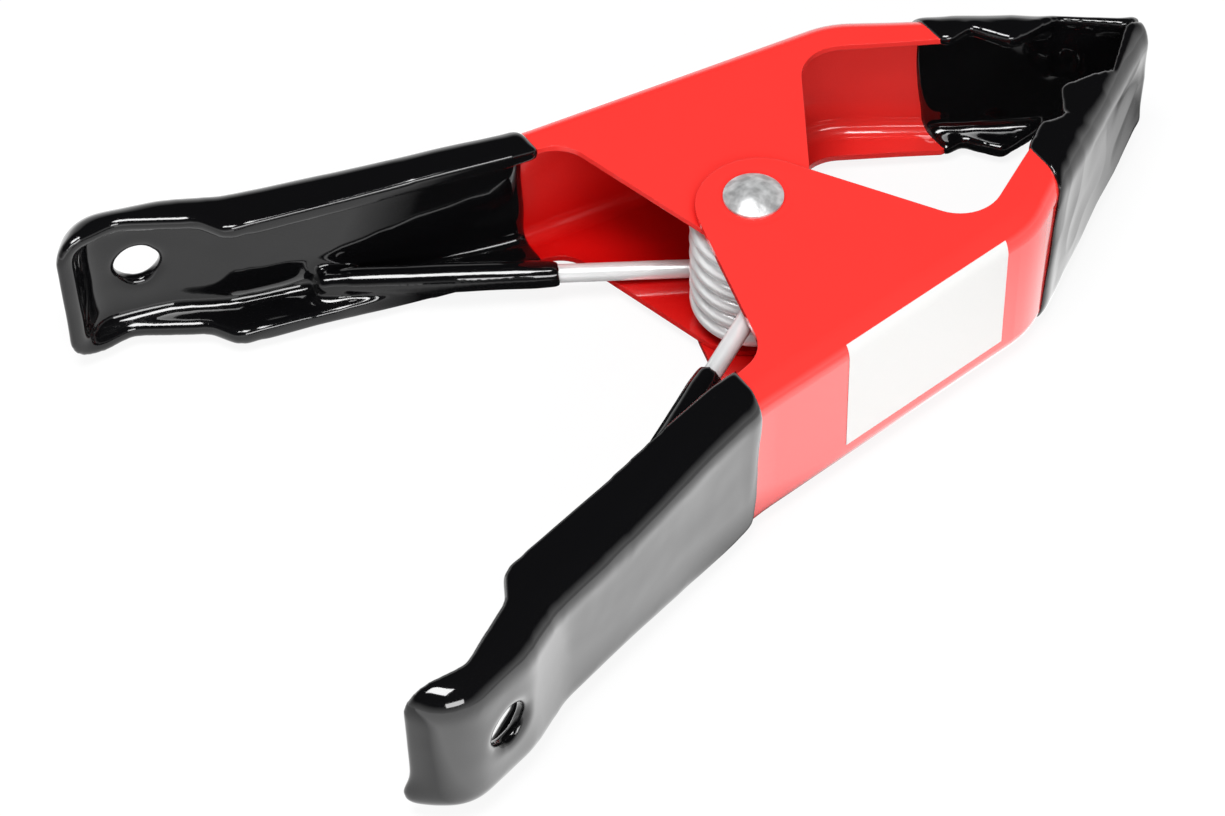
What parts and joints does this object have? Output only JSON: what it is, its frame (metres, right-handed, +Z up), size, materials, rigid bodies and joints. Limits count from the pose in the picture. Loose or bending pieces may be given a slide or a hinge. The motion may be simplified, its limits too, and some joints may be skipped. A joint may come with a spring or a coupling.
{
  "type": "spring clamp",
  "caption": "Hand-squeezed spring clamp of nested pressed-steel channels on a rivet, with a torsion spring and dipped handles and jaws, lying on its side.",
  "frame": {"origin": "centre of the flat end of the rivet's tail, which the clamp lies on; X and Y are zero on the rivet's axis", "axes": "+Z up the rivet, from tail to head; +X from the rivet to the jaw tips; +Y to the inner half"},
  "size_m": [0.2199, 0.1484, 0.0406],
  "materials": {
    "red_paint": "glossy red powder coat",
    "black_dip": "glossy black dipped PVC",
    "zinc_rivet": "bright zinc plate",
    "spring_wire": "zinc-plated spring wire",
    "white_paper": "smooth bare label"
  },
  "bodies": {
    "outer": {"outer_half": "red_paint", "label": "white_paper", "outer_grip": "black_dip", "outer_jaw_boot": "black_dip", "pivot_rivet": "zinc_rivet", "torsion_spring": "spring_wire"},
    "inner": {"inner_half": "red_paint", "inner_grip": "black_dip", "inner_jaw_boot": "black_dip"}
  },
  "joints": [
    {"name": "rivet_pivot", "type": "hinge", "parent": "outer", "child": "inner", "pos_m": [0, 0, 0.01983], "axis": [0, 0, 1], "range_deg": [0, 52], "stiffness_Nm_per_rad": 5.5, "springref_deg": -34.38, "deforming": ["torsion_spring"]}
  ]
}
